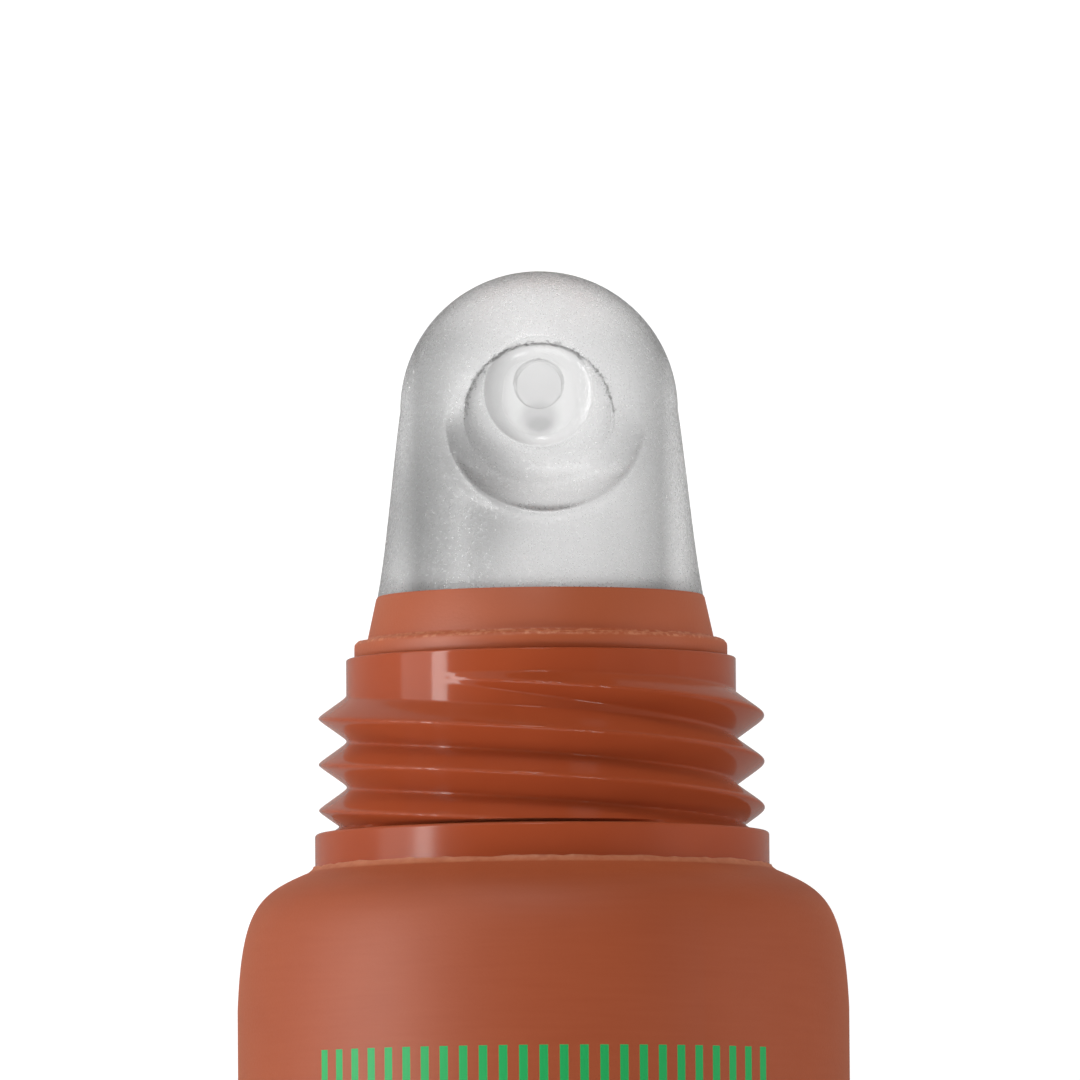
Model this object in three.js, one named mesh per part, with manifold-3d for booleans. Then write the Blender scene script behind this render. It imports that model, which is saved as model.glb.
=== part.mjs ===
// Lip balm squeeze tube with a soft angled applicator and a screw cap, lying open on its back.
// Millimetres, +Z up. The axis runs along +Y, tail to tip, and the hollowed face of the tip looks up.
// Heights along the axis are counted from the seat, the plane where the neck's ring meets the shoulder.

import * as THREE from 'three';
import { mergeVertices } from 'three/addons/utils/BufferGeometryUtils.js';
import Module from 'manifold-3d';

const wasm = await Module();
wasm.setup();

// Squeeze sleeve
const SLEEVE_DIAMETER = 19;
const SLEEVE_LENGTH = 52; // seat to tail end
const SLEEVE_WALL = 0.45;
const ROUND_LENGTH = 10; // seat to where the sleeve starts to flatten
const SEAL_LENGTH = 5; // welded strip at the tail
const SEAL_SQUARENESS = 6; // how square the section of the welded strip is, 2 being an ellipse
const SEAL_PRESS = 0.09; // how far the section is pressed past flat, which makes its two faces level
const SEAL_LEVEL = 0.86; // share of the strip's width that is level
const SEAL_BOW = 0.15; // the strip curls down to the table on both sides, this far below its middle
const TAPER_FULLNESS = 1.3; // over 1, the sleeve stays full near the shoulder
const SHOULDER_DROP = 4.4; // seat to where the shoulder is as wide as the sleeve

// Moulded head: flange, ring, neck and thread
const NECK_DIAMETER = 12.12;
const NECK_HEIGHT = 6.5;
const NECK_WALL = 1.1;
const NECK_CHAMFER = 0.12;
const BORE_STEP = 0.7; // ledge that the plug stands on
const RING_HEIGHT = 1.07;
const RING_STEP = 0.13; // how far the ring stands out past the thread
const RING_FILLET = 0.15;
const STEM_STEP = 0.2; // stem through the sleeve, wider than the neck
const FLANGE_WALL = 0.9;
const FLANGE_REACH = 0.6; // share of the shoulder's curve that the flange backs
const THREAD_DEPTH = 0.87;
const THREAD_PITCH = 1.43;
const THREAD_STARTS = 2;
const THREAD_CREST = 0.14; // flat on top of the ridge
const THREAD_RELIEF = 0.15; // gap between thread and ring
const NECK_LIP = 0.15; // plain neck above the thread
const THREAD_BEGIN = THREE.MathUtils.degToRad(-30); // first start, from straight up, towards +X
const THREAD_RUN_IN = THREE.MathUtils.degToRad(100); // turn over which a start grows to full depth

// Collar that plugs into the neck
const BEAD_INSET = 0.26; // bead, in from the neck
const BEAD_HEIGHT = 0.56;
const BEAD_STEP = 0.42; // cone, in from the bead
const CONE_HEIGHT = 1.37;
const CONE_DRAFT = 0.28; // cone's top, in from its base
const PLUG_DEPTH = 3.2;
const COLLAR_WALL = 0.55;
const SOCKET_LEDGE = 0.9; // ledge under the root of the tip

// Soft tip
const TIP_HEIGHT = 10.14; // above the collar
const TIP_TAPER = 0.75; // dome's radius, less than that of the base
const ROOT_DEPTH = 3.6;
const CHANNEL_DIAMETER = 2.4;
const CHANNEL_END = 0.3; // channel's blind end, past the outlet
const OUTLET_DIAMETER = 1.5;
const OUTLET_HEIGHT = 6.56; // above the collar
const DISH_DIAMETER = 4.7;
const DISH_DEPTH = 1.1;
const DISH_HEIGHT = 5.5; // above the collar

// Screw cap
const CAP_WALL = 1.2;
const CAP_CROWN = 1.3;
const CAP_ROUNDING = 0.8;
const LINER_WALL = 0.9;
const LINER_SKIRT = 1; // thickness of the liner's step over the washer
const TIP_ROOM = 0.5; // free space round the tip in the closed cap
const WASHER_HEIGHT = 1;
const WASHER_LIP = 0.3; // height of the bead that keeps the washer in
const CAP_TURNS = 10; // turns that bring the cap clear of the tip at rest

// Clearances
const FIT = 0.05; // pieces that are pressed or welded together
const WASHER_PLAY = 0.12; // washer in its groove
const WASHER_SEAT = 0.2; // washer round the collar
const RUNNING_GAP = 0.35; // screw thread and what passes inside the cap
const BALM_GAP = 0.3;
const BALM_TAIL_GAP = 4; // balm ends this far from the welded strip

// Facets
const SEGMENTS = 36;
const ROWS_PER_PITCH = 5;
const SLEEVE_STATIONS = 8;
const CURVE_POINTS = 5;

// Radii and heights that follow from the sizes above
const sleeveR = SLEEVE_DIAMETER / 2;
const neckR = NECK_DIAMETER / 2;
const crestR = neckR + THREAD_DEPTH;
const ringR = crestR + RING_STEP;
const stemR = neckR + STEM_STEP;
const counterboreR = neckR - NECK_WALL;
const boreR = counterboreR - BORE_STEP;
const plugR = counterboreR - FIT;
const socketR = plugR - COLLAR_WALL;
const beadR = neckR - BEAD_INSET;
const coneBaseR = beadR - BEAD_STEP;
const tipBaseR = coneBaseR - CONE_DRAFT;
const domeR = tipBaseR - TIP_TAPER;
const plugFloor = NECK_HEIGHT - PLUG_DEPTH;
const beadTop = NECK_HEIGHT + BEAD_HEIGHT;
const collarTop = beadTop + CONE_HEIGHT;
const tipTop = collarTop + TIP_HEIGHT;
const lead = THREAD_PITCH * THREAD_STARTS;
const threadFloor = RING_HEIGHT + THREAD_RELIEF;
const threadCeiling = NECK_HEIGHT - NECK_LIP;
const firstCrest = threadCeiling - THREAD_PITCH / 2;

const shellBoreR = sleeveR - CAP_WALL;
const linerR = shellBoreR - FIT;
const linerFloor = RING_HEIGHT + RUNNING_GAP;
const linerBoreR = neckR + RUNNING_GAP;
const washerFloor = beadTop + WASHER_SEAT;
const washerTop = washerFloor + WASHER_HEIGHT;
const grooveTop = washerTop + WASHER_PLAY;
const lipTop = washerFloor - WASHER_PLAY;
const cavityR = tipBaseR + TIP_ROOM;
const cavityTop = tipTop + TIP_ROOM;
const linerTop = cavityTop + LINER_WALL;
const capTop = linerTop + FIT + CAP_CROWN;
const capTravel = CAP_TURNS * lead;

// The shoulder's outline, from under the ring to the full width of the sleeve
const shoulder = new THREE.CubicBezierCurve(
  new THREE.Vector2(ringR, -FIT),
  new THREE.Vector2(THREE.MathUtils.lerp(ringR, sleeveR, 0.69), -0.17 * SHOULDER_DROP),
  new THREE.Vector2(THREE.MathUtils.lerp(ringR, sleeveR, 0.94), -0.22 * SHOULDER_DROP),
  new THREE.Vector2(sleeveR, -SHOULDER_DROP),
);

// Points along the shoulder from the ring outwards, moved inwards by a depth
function shoulderPoints(depth, reach = 1) {
  const points = [];
  for (let i = 0; i <= CURVE_POINTS; i++) {
    const share = (reach * i) / CURVE_POINTS;
    const point = shoulder.getPoint(share);
    const along = shoulder.getTangent(share);
    points.push([point.x + along.y * depth, point.y - along.x * depth]);
  }
  return points;
}

// Height of the shoulder at a radius, for the rim of the cap
function shoulderHeight(radius) {
  let low = 0;
  let high = 1;
  for (let i = 0; i < 40; i++) {
    const middle = (low + high) / 2;
    if (shoulder.getPoint(middle).x < radius) low = middle;
    else high = middle;
  }
  return shoulder.getPoint(low).y;
}

// A closed skin over rings of points. Rings run up the outside and down the inside of the piece.
// With loop set the last ring meets the first, and otherwise both end rings are filled.
function skin(rings, loop) {
  const count = rings[0].length;
  const positions = rings.flat(2);
  const faces = [];
  const at = (ring, i) => (ring % rings.length) * count + (i % count);
  const bands = loop ? rings.length : rings.length - 1;
  for (let ring = 0; ring < bands; ring++) {
    for (let i = 0; i < count; i++) {
      faces.push(at(ring, i), at(ring, i + 1), at(ring + 1, i));
      faces.push(at(ring, i + 1), at(ring + 1, i + 1), at(ring + 1, i));
    }
  }
  if (!loop) {
    const last = rings.length - 1;
    const middle = (ring) => [0, 1, 2].map((k) => ring.reduce((sum, p) => sum + p[k], 0) / count);
    positions.push(...middle(rings[0]), ...middle(rings[last]));
    const first = rings.length * count;
    for (let i = 0; i < count; i++) {
      faces.push(first, at(0, i + 1), at(0, i));
      faces.push(first + 1, at(last, i), at(last, i + 1));
    }
  }
  const geometry = new THREE.BufferGeometry();
  geometry.setAttribute('position', new THREE.Float32BufferAttribute(positions, 3));
  geometry.setIndex(faces);
  return geometry;
}

// A round ring about the axis. The radius is a number or a function of the angle.
function roundRing([radius, height]) {
  const ring = [];
  for (let i = 0; i < SEGMENTS; i++) {
    const angle = (2 * Math.PI * i) / SEGMENTS;
    const r = typeof radius === 'function' ? radius(angle) : radius;
    ring.push([r * Math.sin(angle), height, r * Math.cos(angle)]);
  }
  return ring;
}

// Solid of revolution of a profile that closes on itself or starts and ends on the axis
function lathe(profile) {
  return new THREE.LatheGeometry(profile.map(([r, h]) => new THREE.Vector2(r, h)), SEGMENTS);
}

// Share of the ridge's depth at a point beside the neck. An endless ridge has no run-in.
function threadShare(angle, height, endless) {
  const half = (THREAD_PITCH - THREAD_CREST) / 2;
  let share = 0;
  for (let start = 0; start < THREAD_STARTS; start++) {
    const begin = THREAD_BEGIN + (2 * Math.PI * start) / THREAD_STARTS;
    const within = THREE.MathUtils.euclideanModulo(angle - begin, 2 * Math.PI);
    const turns = Math.ceil(NECK_HEIGHT / lead) + 1;
    for (let turn = endless ? -turns : 0; turn <= turns; turn++) {
      const sweep = within + 2 * Math.PI * turn;
      const crest = firstCrest - (lead * sweep) / (2 * Math.PI);
      const slope = (THREAD_PITCH / 2 - Math.abs(height - crest)) / half;
      const grown = endless ? 1 : THREE.MathUtils.smoothstep(sweep, 0, THREAD_RUN_IN);
      share = Math.max(share, grown * THREE.MathUtils.clamp(slope, 0, 1));
    }
  }
  return share;
}

// Rows of a threaded wall between two heights, going up
function threadRows(low, high, radiusAt) {
  const count = Math.ceil(((high - low) / THREAD_PITCH) * ROWS_PER_PITCH);
  const rows = [];
  for (let i = 0; i <= count; i++) {
    const height = THREE.MathUtils.lerp(low, high, i / count);
    rows.push([(angle) => radiusAt(angle, height), height]);
  }
  return rows;
}

function solidOf(geometry) {
  const bare = geometry.clone();
  bare.deleteAttribute('normal');
  bare.deleteAttribute('uv');
  const merged = mergeVertices(bare, 1e-5);
  const index = merged.index.array;
  const faces = [];
  for (let i = 0; i < index.length; i += 3) {
    const [a, b, c] = index.slice(i, i + 3);
    if (a !== b && b !== c && c !== a) faces.push(a, b, c);
  }
  const vertProperties = new Float32Array(merged.attributes.position.array);
  return new wasm.Manifold(new wasm.Mesh({ numProp: 3, vertProperties, triVerts: new Uint32Array(faces) }));
}

function geometryOf(solid) {
  const mesh = solid.getMesh();
  const geometry = new THREE.BufferGeometry();
  geometry.setAttribute('position', new THREE.Float32BufferAttribute(mesh.vertProperties, 3));
  geometry.setIndex(Array.from(mesh.triVerts));
  return geometry;
}

// Half height of the sleeve, from round near the shoulder to flat at the welded strip
function sleeveHalfHeight(height) {
  const taper = SLEEVE_LENGTH - SEAL_LENGTH - ROUND_LENGTH;
  const share = THREE.MathUtils.clamp((-height - ROUND_LENGTH) / taper, 0, 1);
  return THREE.MathUtils.lerp(sleeveR, SLEEVE_WALL, share ** TAPER_FULLNESS);
}

// A ring of the sleeve moved inwards by a depth. The film can't stretch, so the ring gets wider as it gets
// lower, with the same length all round, and its underside stays on the table. Towards the tail the weld
// has pressed both faces level and left them a little bowed.
function sleeveRing(height, depth) {
  const halfHeight = sleeveHalfHeight(height);
  const flatness = 1 - halfHeight / sleeveR;
  const halfWidth = sleeveR * (Math.PI / 2 - (Math.PI / 2 - 1) * (1 - flatness) ** 1.685);
  const weld = (flatness / (1 - SLEEVE_WALL / sleeveR)) ** 8;
  const power = 2 / THREE.MathUtils.lerp(2, SEAL_SQUARENESS, weld);
  const press = 1 + SEAL_PRESS * weld;
  const ring = [];
  for (let i = 0; i < SEGMENTS; i++) {
    const angle = (2 * Math.PI * i) / SEGMENTS;
    const across = Math.sign(Math.sin(angle)) * Math.abs(Math.sin(angle)) ** power;
    const bulge = Math.sign(Math.cos(angle)) * Math.abs(Math.cos(angle)) ** power;
    const up = THREE.MathUtils.clamp(press * bulge, -1, 1);
    const bow = SEAL_BOW * weld * Math.max(0, 1 - (across / SEAL_LEVEL) ** 2);
    const middle = halfHeight - sleeveR + bow;
    ring.push([(halfWidth - depth) * across, height, middle + (halfHeight - depth) * up]);
  }
  return ring;
}

// Heights of the flattening rings, from the shoulder towards the tail
function taperHeights(end) {
  const heights = [];
  for (let i = 0; i <= SLEEVE_STATIONS; i++) {
    heights.push(THREE.MathUtils.lerp(-ROUND_LENGTH, end, i / SLEEVE_STATIONS));
  }
  return heights;
}

function tubeSleeve() {
  const strip = SEAL_LENGTH - SLEEVE_LENGTH;
  const hollowEnd = strip + SLEEVE_WALL * 4;
  const holeR = stemR + FIT;
  const outside = [
    sleeveRing(-SLEEVE_LENGTH, 0),
    ...taperHeights(strip).reverse().map((height) => sleeveRing(height, 0)),
    ...shoulderPoints(0).reverse().map(roundRing),
    roundRing([holeR, -FIT]),
  ];
  const inside = [
    roundRing([holeR, -FIT - SLEEVE_WALL]),
    ...shoulderPoints(SLEEVE_WALL).map(roundRing),
    ...taperHeights(hollowEnd).map((height) => sleeveRing(height, SLEEVE_WALL)),
  ];
  return skin([...outside, ...inside], false);
}

function tubeHead() {
  const flange = shoulderPoints(SLEEVE_WALL + FIT, FLANGE_REACH);
  const underside = flange.map(([r, h]) => [r, h - FLANGE_WALL]);
  const stemFoot = -FIT - SLEEVE_WALL - FIT;
  const profile = [
    [boreR, stemFoot - FLANGE_WALL],
    ...underside,
    ...flange.reverse(),
    [stemR, stemFoot],
    [stemR, 0],
    [ringR, 0],
    [ringR, RING_HEIGHT - RING_FILLET],
    [ringR - RING_FILLET, RING_HEIGHT],
    [neckR, RING_HEIGHT],
    ...threadRows(threadFloor, threadCeiling, (angle, height) => {
      return neckR + THREAD_DEPTH * threadShare(angle, height, false);
    }),
    [neckR, NECK_HEIGHT - NECK_CHAMFER],
    [neckR - NECK_CHAMFER, NECK_HEIGHT],
    [counterboreR, NECK_HEIGHT],
    [counterboreR, plugFloor],
    [boreR, plugFloor],
  ];
  return skin(profile.map(roundRing), true);
}

function tipCollar() {
  const socketFloor = collarTop - ROOT_DEPTH - FIT;
  const socketBoreR = socketR - SOCKET_LEDGE;
  const profile = [
    [socketBoreR, plugFloor + FIT],
    [plugR, plugFloor + FIT],
    [plugR, NECK_HEIGHT + FIT],
    [beadR, NECK_HEIGHT + FIT],
    [beadR, beadTop],
    [coneBaseR, beadTop],
    [tipBaseR, collarTop],
    [socketR, collarTop],
    [socketR, socketFloor],
    [socketBoreR, socketFloor],
  ];
  return lathe([...profile, profile[0]]);
}

function applicatorTip() {
  const rootR = socketR - FIT;
  const rootFloor = collarTop - ROOT_DEPTH;
  const base = collarTop + FIT;
  const equator = tipTop - domeR;
  const outlet = collarTop + OUTLET_HEIGHT;
  const channelR = CHANNEL_DIAMETER / 2;
  const channelTop = outlet + OUTLET_DIAMETER / 2 + CHANNEL_END;
  const flank = new THREE.QuadraticBezierCurve(
    new THREE.Vector2(tipBaseR, base),
    new THREE.Vector2(THREE.MathUtils.lerp(domeR, tipBaseR, 0.35), THREE.MathUtils.lerp(base, equator, 0.4)),
    new THREE.Vector2(domeR, equator),
  );
  const profile = [[0, channelTop], [channelR, channelTop], [channelR, rootFloor], [rootR, rootFloor], [rootR, base]];
  for (const point of flank.getPoints(CURVE_POINTS)) profile.push([point.x, point.y]);
  const domeSteps = 2 * CURVE_POINTS;
  for (let i = 1; i < domeSteps; i++) {
    const rise = (Math.PI / 2) * (i / domeSteps);
    profile.push([domeR * Math.cos(rise), equator + domeR * Math.sin(rise)]);
  }
  profile.push([0, tipTop]);
  const dishR = (DISH_DIAMETER ** 2 / 4 + DISH_DEPTH ** 2) / (2 * DISH_DEPTH);
  const dish = new THREE.SphereGeometry(dishR, SEGMENTS, SEGMENTS / 2);
  dish.translate(0, collarTop + DISH_HEIGHT, domeR + dishR - DISH_DEPTH);
  const hole = new THREE.CylinderGeometry(OUTLET_DIAMETER / 2, OUTLET_DIAMETER / 2, domeR, SEGMENTS / 2);
  hole.rotateX(Math.PI / 2);
  hole.translate(0, outlet, domeR / 2);
  return geometryOf(solidOf(lathe(profile)).subtract(solidOf(dish)).subtract(solidOf(hole)));
}

function balmFill() {
  const depth = SLEEVE_WALL + BALM_GAP;
  const columnR = boreR - BALM_GAP;
  const tail = SEAL_LENGTH + BALM_TAIL_GAP - SLEEVE_LENGTH;
  const rings = [
    ...taperHeights(tail).reverse().map((height) => sleeveRing(height, depth)),
    roundRing([sleeveR - depth, -SHOULDER_DROP - BALM_GAP]),
    roundRing([columnR, -SHOULDER_DROP / 2]),
    roundRing([columnR, plugFloor - BALM_GAP]),
  ];
  return skin(rings, false);
}

function capShell() {
  const mouth = shoulderHeight(shellBoreR) + RUNNING_GAP;
  const crown = capTop - CAP_CROWN;
  const profile = [[0, crown], [shellBoreR, crown], [shellBoreR, mouth], [sleeveR, mouth]];
  for (let i = 0; i <= CURVE_POINTS; i++) {
    const turn = (Math.PI / 2) * (i / CURVE_POINTS);
    profile.push([
      sleeveR - CAP_ROUNDING * (1 - Math.cos(turn)),
      capTop - CAP_ROUNDING * (1 - Math.sin(turn)),
    ]);
  }
  return lathe([...profile, [0, capTop]]);
}

function capLiner() {
  const lipR = beadR + RUNNING_GAP;
  const rows = threadRows(linerFloor, threadCeiling, (angle, height) => {
    return linerBoreR + THREAD_DEPTH * threadShare(angle, height, true);
  });
  const profile = [
    [cavityR, cavityTop],
    [cavityR, grooveTop],
    [linerBoreR, grooveTop],
    [linerBoreR, lipTop],
    [lipR, lipTop],
    [lipR, lipTop - WASHER_LIP],
    [linerBoreR, lipTop - WASHER_LIP],
    ...rows.reverse(),
    [linerR, linerFloor],
    [linerR, grooveTop + LINER_SKIRT],
    [cavityR + LINER_WALL, grooveTop + LINER_SKIRT],
    [cavityR + LINER_WALL, linerTop],
  ];
  return skin(profile.map(roundRing), false);
}

function capWasher() {
  const coneAt = (height) => coneBaseR - CONE_DRAFT * ((height - beadTop) / CONE_HEIGHT);
  const outerR = linerBoreR - WASHER_PLAY;
  const profile = [
    [coneAt(washerFloor) + WASHER_SEAT, washerFloor],
    [outerR, washerFloor],
    [outerR, washerTop],
    [coneAt(washerTop) + WASHER_SEAT, washerTop],
  ];
  return lathe([...profile, profile[0]]);
}

function piece(name, geometry, color, roughness) {
  const material = new THREE.MeshStandardMaterial({ color, roughness, metalness: 0 });
  const mesh = new THREE.Mesh(geometry, material);
  mesh.name = name;
  return mesh;
}

const BROWN = 0x96492b;
const DARK_BROWN = 0x7d3a20;

const cap = new THREE.Group();
cap.add(piece('cap_shell', capShell(), BROWN, 0.5));
cap.add(piece('cap_liner', capLiner(), DARK_BROWN, 0.35));
cap.add(piece('cap_washer', capWasher(), 0xe4ded2, 0.6));
cap.position.y = capTravel;

const lipBalmTube = new THREE.Group();
lipBalmTube.add(piece('tube_sleeve', tubeSleeve(), BROWN, 0.55));
lipBalmTube.add(piece('tube_head', tubeHead(), DARK_BROWN, 0.25));
lipBalmTube.add(piece('tip_collar', tipCollar(), DARK_BROWN, 0.3));
lipBalmTube.add(piece('applicator_tip', applicatorTip(), 0xd9d4cd, 0.4));
lipBalmTube.add(piece('balm_fill', balmFill(), 0xf3e6c4, 0.5));
lipBalmTube.add(cap);

// The origin is under the middle of the whole object, on the table
lipBalmTube.position.set(0, (SLEEVE_LENGTH - capTop - capTravel) / 2, sleeveR);

export default lipBalmTube;
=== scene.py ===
# %% [markdown]
# # An open lip balm tube, lying on its back
# The tube is a soft brown sleeve with a glossy screw neck, a tapered collar and a clear, frosted tip. Its
# cap lies in line in front of it. The solids of the model are loaded first: they say where each piece is,
# and every piece made below takes its place from them.

# %% Load the frame
import math
import bpy
from mathutils import Matrix, Vector


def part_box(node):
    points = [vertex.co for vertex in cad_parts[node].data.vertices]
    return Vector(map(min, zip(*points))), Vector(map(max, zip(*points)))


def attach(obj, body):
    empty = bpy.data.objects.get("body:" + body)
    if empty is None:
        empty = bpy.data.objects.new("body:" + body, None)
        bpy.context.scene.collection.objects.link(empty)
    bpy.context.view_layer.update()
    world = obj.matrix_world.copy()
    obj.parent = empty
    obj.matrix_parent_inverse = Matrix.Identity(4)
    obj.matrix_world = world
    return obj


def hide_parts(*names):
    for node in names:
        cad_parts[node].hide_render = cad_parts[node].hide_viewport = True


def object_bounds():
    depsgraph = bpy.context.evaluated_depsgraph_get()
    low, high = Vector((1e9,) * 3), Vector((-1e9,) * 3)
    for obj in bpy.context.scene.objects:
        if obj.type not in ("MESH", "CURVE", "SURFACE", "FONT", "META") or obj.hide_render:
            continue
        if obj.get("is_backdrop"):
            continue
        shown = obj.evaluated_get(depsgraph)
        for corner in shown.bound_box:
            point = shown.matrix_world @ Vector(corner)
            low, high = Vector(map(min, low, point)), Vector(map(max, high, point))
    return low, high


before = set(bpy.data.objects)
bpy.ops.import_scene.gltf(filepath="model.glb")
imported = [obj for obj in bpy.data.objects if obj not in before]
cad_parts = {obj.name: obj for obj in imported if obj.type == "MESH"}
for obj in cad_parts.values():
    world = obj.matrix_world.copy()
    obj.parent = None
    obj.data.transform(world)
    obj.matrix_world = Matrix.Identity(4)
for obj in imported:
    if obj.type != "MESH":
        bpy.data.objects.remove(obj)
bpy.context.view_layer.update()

# %% [markdown]
# ## Places along the axis
# Everything on this tube is turned about one axis, so a place is a radius and a height in millimetres.
# Heights start at the seat, where the ring of the neck meets the shoulder. The axis and the seat are read
# off the sleeve, whose upper edge lies just under the ring.

# %% Axis, seat and units
MM = 0.001
WELD_GAP = 0.05  # between the sleeve's upper edge and the ring
sleeve_low, sleeve_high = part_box("tube_sleeve")
AXIS_Z = sleeve_high.z / 2
SEAT_Y = sleeve_high.y + WELD_GAP * MM
SLEEVE_R = AXIS_Z / MM


def place(radius, height, angle=0.0):
    """A point of the frame. Angle 0 looks up, and a quarter turn looks along +X."""
    across = radius * math.sin(angle) * MM
    return Vector((across, SEAT_Y + height * MM, AXIS_Z + radius * math.cos(angle) * MM))


def height_of(y):
    """Height along the axis, in millimetres, of a place in the frame."""
    return (y - SEAT_Y) / MM


def polar(point):
    """Radius, height and angle of a place in the frame: the way back from place()."""
    across, up = point.x / MM, (point.z - AXIS_Z) / MM
    return math.hypot(across, up), height_of(point.y), math.atan2(across, up)


TIP_TOP = height_of(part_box("applicator_tip")[1].y)
TAIL = height_of(sleeve_low.y)
print("sleeve radius", round(SLEEVE_R, 3), "tip top", round(TIP_TOP, 3), "tail", round(TAIL, 3))

# %% [markdown]
# ## Growing a turned piece
# Neck, collar, tip and cap are round mouldings, so each is drawn as half its outline and swept round. A
# screw modifier could sweep a curve. Spin leaves plain rows of points at once, and the thread and the
# hollow of the tip are pushed out of those later. A plane is added, its corners are merged into one
# point, and that point is extruded from corner to corner of the outline. Where the outline meets the
# axis, spin leaves many points on one spot, so they are merged.

# %% Spin helper
MERGE = 2e-6  # metres


def grow_outline(name, outline):
    """Draws an outline of (radius, height) points from one merged point. Leaves edit mode on."""
    bpy.ops.object.select_all(action="DESELECT")
    bpy.ops.mesh.primitive_plane_add(size=MM, location=(0, 0, 0))
    piece = bpy.context.object
    piece.name = piece.data.name = name
    bpy.ops.object.mode_set(mode="EDIT")
    bpy.ops.mesh.select_mode(type="VERT")
    bpy.ops.mesh.select_all(action="SELECT")
    bpy.ops.mesh.merge(type="CENTER")
    here = place(*outline[0])
    bpy.ops.transform.translate(value=here)
    for radius, height in outline[1:]:
        step = place(radius, height) - here
        bpy.ops.mesh.extrude_region_move(TRANSFORM_OT_translate={"value": step})
        here = here + step
    return piece


def spin_outline(name, outline, steps):
    """Sweeps an outline round the axis and closes it."""
    piece = grow_outline(name, outline)
    bpy.ops.mesh.select_all(action="SELECT")
    bpy.ops.mesh.spin(steps=steps, angle=2 * math.pi, center=(0, 0, AXIS_Z), axis=(0, 1, 0))
    bpy.ops.mesh.select_all(action="SELECT")
    bpy.ops.mesh.remove_doubles(threshold=MERGE)
    bpy.ops.mesh.normals_make_consistent(inside=False)
    bpy.ops.object.mode_set(mode="OBJECT")
    return piece


# %% Points of an outline
def arc(middle, radius, start, end, count):
    """Points of a round corner, from one angle to another in degrees, 0 pointing outwards."""
    points = []
    for i in range(count + 1):
        turn = math.radians(start + (end - start) * i / count)
        points.append((middle[0] + radius * math.cos(turn), middle[1] + radius * math.sin(turn)))
    return points


def curve(corners, count):
    """Points along a cubic curve that four corner points steer."""
    points = []
    for i in range(count + 1):
        t = i / count
        weights = ((1 - t) ** 3, 3 * t * (1 - t) ** 2, 3 * t * t * (1 - t), t ** 3)
        points.append(tuple(sum(w * c[k] for w, c in zip(weights, corners)) for k in (0, 1)))
    return points


# %% Finishing a piece
def finish_piece(piece, body, node, material, angle=35):
    """Smooth shading, a material, and the piece's place in the frame."""
    bpy.ops.object.select_all(action="DESELECT")
    piece.select_set(True)
    bpy.context.view_layer.objects.active = piece
    bpy.ops.object.shade_smooth_by_angle(angle=math.radians(angle))
    piece.data.materials.clear()
    piece.data.materials.append(material)
    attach(piece, body)
    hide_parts(node)
    print(piece.name, len(piece.data.polygons), "faces")


# %% [markdown]
# ## Colours and nodes
# Colours are written as the screen shows them and turned into the linear values that light works with. A
# node tree could be wired by hand in the editor. In a script one small function is enough, which adds a
# node with its settings and links, so each material below reads as a recipe from its coordinates to its
# shader.

# %% Colour and node helpers
def screen(code):
    """A hex colour as linear red, green, blue and alpha."""
    values = [int(code[i:i + 2], 16) / 255 for i in (1, 3, 5)]
    return [v / 12.92 if v <= 0.04045 else ((v + 0.055) / 1.055) ** 2.4 for v in values] + [1.0]


def add(tree, kind, inputs=None, **settings):
    """Adds a node. An input is a value, a socket, or a node, whose first live output is linked."""
    made = tree.nodes.new("ShaderNode" + kind)
    for name, value in settings.items():
        setattr(made, name, value)
    for key, value in (inputs or {}).items():
        if isinstance(value, bpy.types.Node):
            value = next(socket for socket in value.outputs if socket.enabled)
        if isinstance(value, bpy.types.NodeSocket):
            tree.links.new(value, made.inputs[key])
        else:
            made.inputs[key].default_value = value
    return made


def blank(name):
    """A material with an empty tree."""
    material = bpy.data.materials.new(name)
    material.use_nodes = True
    material.node_tree.nodes.clear()
    return material, material.node_tree


def from_seat(tree):
    """Object coordinates in millimetres, counted from the axis and the seat."""
    where = add(tree, "TexCoord")
    seat = (0, SEAT_Y, AXIS_Z)
    moved = add(tree, "VectorMath", {0: where.outputs["Object"], 1: seat}, operation="SUBTRACT")
    return add(tree, "VectorMath", {0: moved, "Scale": 1 / MM}, operation="SCALE")


# For a MapRange node, which brings input 0 from between inputs 1 and 2 to between inputs 3 and 4.
SOFT = {"interpolation_type": "SMOOTHSTEP"}
MIX_A, MIX_B = 6, 7  # the colour sockets of a Mix node


def band(tree, value, low, high, soft):
    """1 between two values, falling to 0 over a soft edge outside them."""
    rise = add(tree, "MapRange", {0: value, 1: low - soft, 2: low}, **SOFT)
    fall = add(tree, "MapRange", {0: value, 1: high, 2: high + soft, 3: 1.0, 4: 0.0}, **SOFT)
    return add(tree, "Math", {0: rise, 1: fall}, operation="MULTIPLY")


print("middle grey in linear light", round(screen("#808080")[0], 3))

# %% [markdown]
# ## Printed ticks
# The sleeve has green print below its shoulder. Here it is a plain rule of ticks, in place of any words.
# It could be thin geometry laid on the film, but ink has no thickness to see, so a mask in the material
# draws it: the angle round the tube is cut into equal steps, and a bar is left round the middle of each.

# %% Tick mask
PRINT_GREEN = "#089a4f"
TICK_STEP = 0.625  # millimetres round the sleeve
TICK_WIDTH = 0.27
TICK_COUNT = 12  # to each side of the middle
TICK_TOP = -5.9  # height where the ticks begin
TICK_SHORT = 1.6
TICK_LONG = 2.6


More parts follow.
